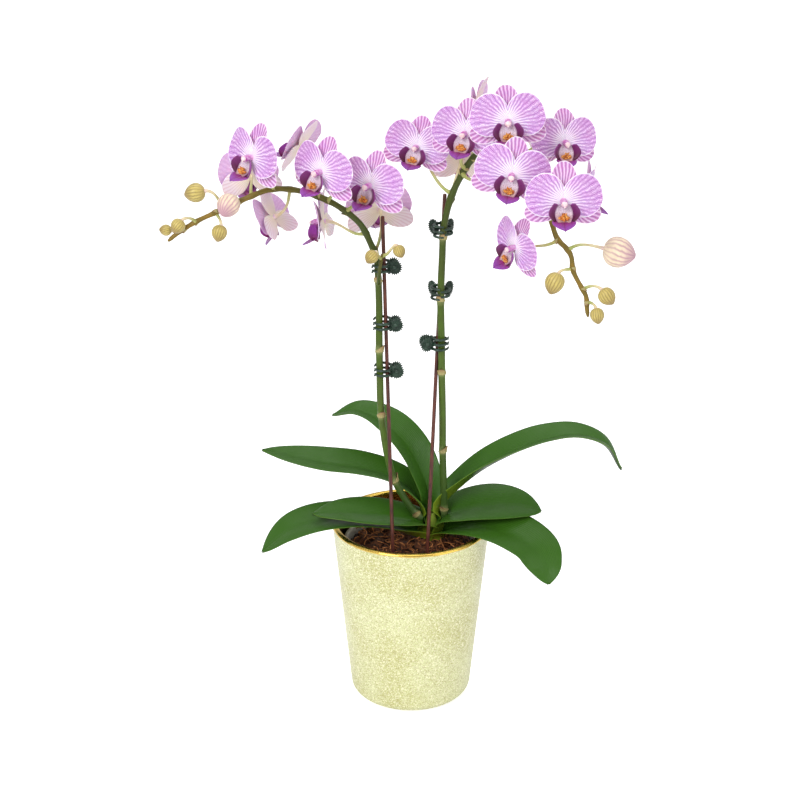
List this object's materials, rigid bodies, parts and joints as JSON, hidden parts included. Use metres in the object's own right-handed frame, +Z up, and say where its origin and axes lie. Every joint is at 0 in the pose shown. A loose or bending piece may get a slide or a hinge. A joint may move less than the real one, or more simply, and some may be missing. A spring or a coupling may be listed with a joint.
{
  "type": "potted orchid",
  "caption": "Moth orchid with two arching flower spikes on stakes, seven leaves and a tapering glazed pot.",
  "frame": {"origin": "centre of the pot's flat underside", "axes": "+Z up the pot's axis, front of the plant towards -Y, +X to the right as seen from the front"},
  "size_m": [0.3878, 0.1991, 0.5584],
  "materials": {
    "pot_glaze": "satin",
    "liner_plastic": "satin",
    "bark": "matte",
    "leaf": "satin",
    "spike": "satin",
    "stake_brown": "satin",
    "clip_green": "satin",
    "petal": "matte",
    "bud": "satin"
  },
  "bodies": {
    "root": {"cover_pot": "pot_glaze", "nursery_pot": "liner_plastic", "bark_medium": "bark", "crown": "leaf", "leaf_left_low": "leaf", "leaf_right_low": "leaf", "leaf_left_front": "leaf", "leaf_right_mid": "leaf", "leaf_left_back": "leaf", "leaf_right_high": "leaf", "leaf_back_high": "leaf", "spike_left": "spike", "spike_right": "spike", "stake_left": "stake_brown", "stake_right": "stake_brown", "clip_left_1_near": "clip_green", "clip_left_1_far": "clip_green", "clip_left_2_near": "clip_green", "clip_left_2_far": "clip_green", "clip_left_3_near": "clip_green", "clip_left_3_far": "clip_green", "clip_right_1_near": "clip_green", "clip_right_1_far": "clip_green", "clip_right_2_near": "clip_green", "clip_right_2_far": "clip_green", "clip_right_3_near": "clip_green", "clip_right_3_far": "clip_green", "flower_left_1": "petal", "flower_left_2": "petal", "flower_left_3": "petal", "flower_left_4": "petal", "flower_left_5": "petal", "flower_left_6": "petal", "flower_left_7": "petal", "flower_left_8": "petal", "flower_right_1": "petal", "flower_right_2": "petal", "flower_right_3": "petal", "flower_right_4": "petal", "flower_right_5": "petal", "flower_right_6": "petal", "flower_right_7": "petal", "flower_right_8": "petal", "flower_right_9": "petal", "flower_right_10": "petal", "flower_right_11": "petal", "bud_left_1": "bud", "bud_left_2": "bud", "bud_left_3": "bud", "bud_left_4": "bud", "bud_left_5": "bud", "bud_shoot_1": "bud", "bud_shoot_2": "bud", "bud_right_1": "bud", "bud_right_2": "bud", "bud_right_3": "bud", "bud_right_4": "bud"}
  },
  "joints": []
}
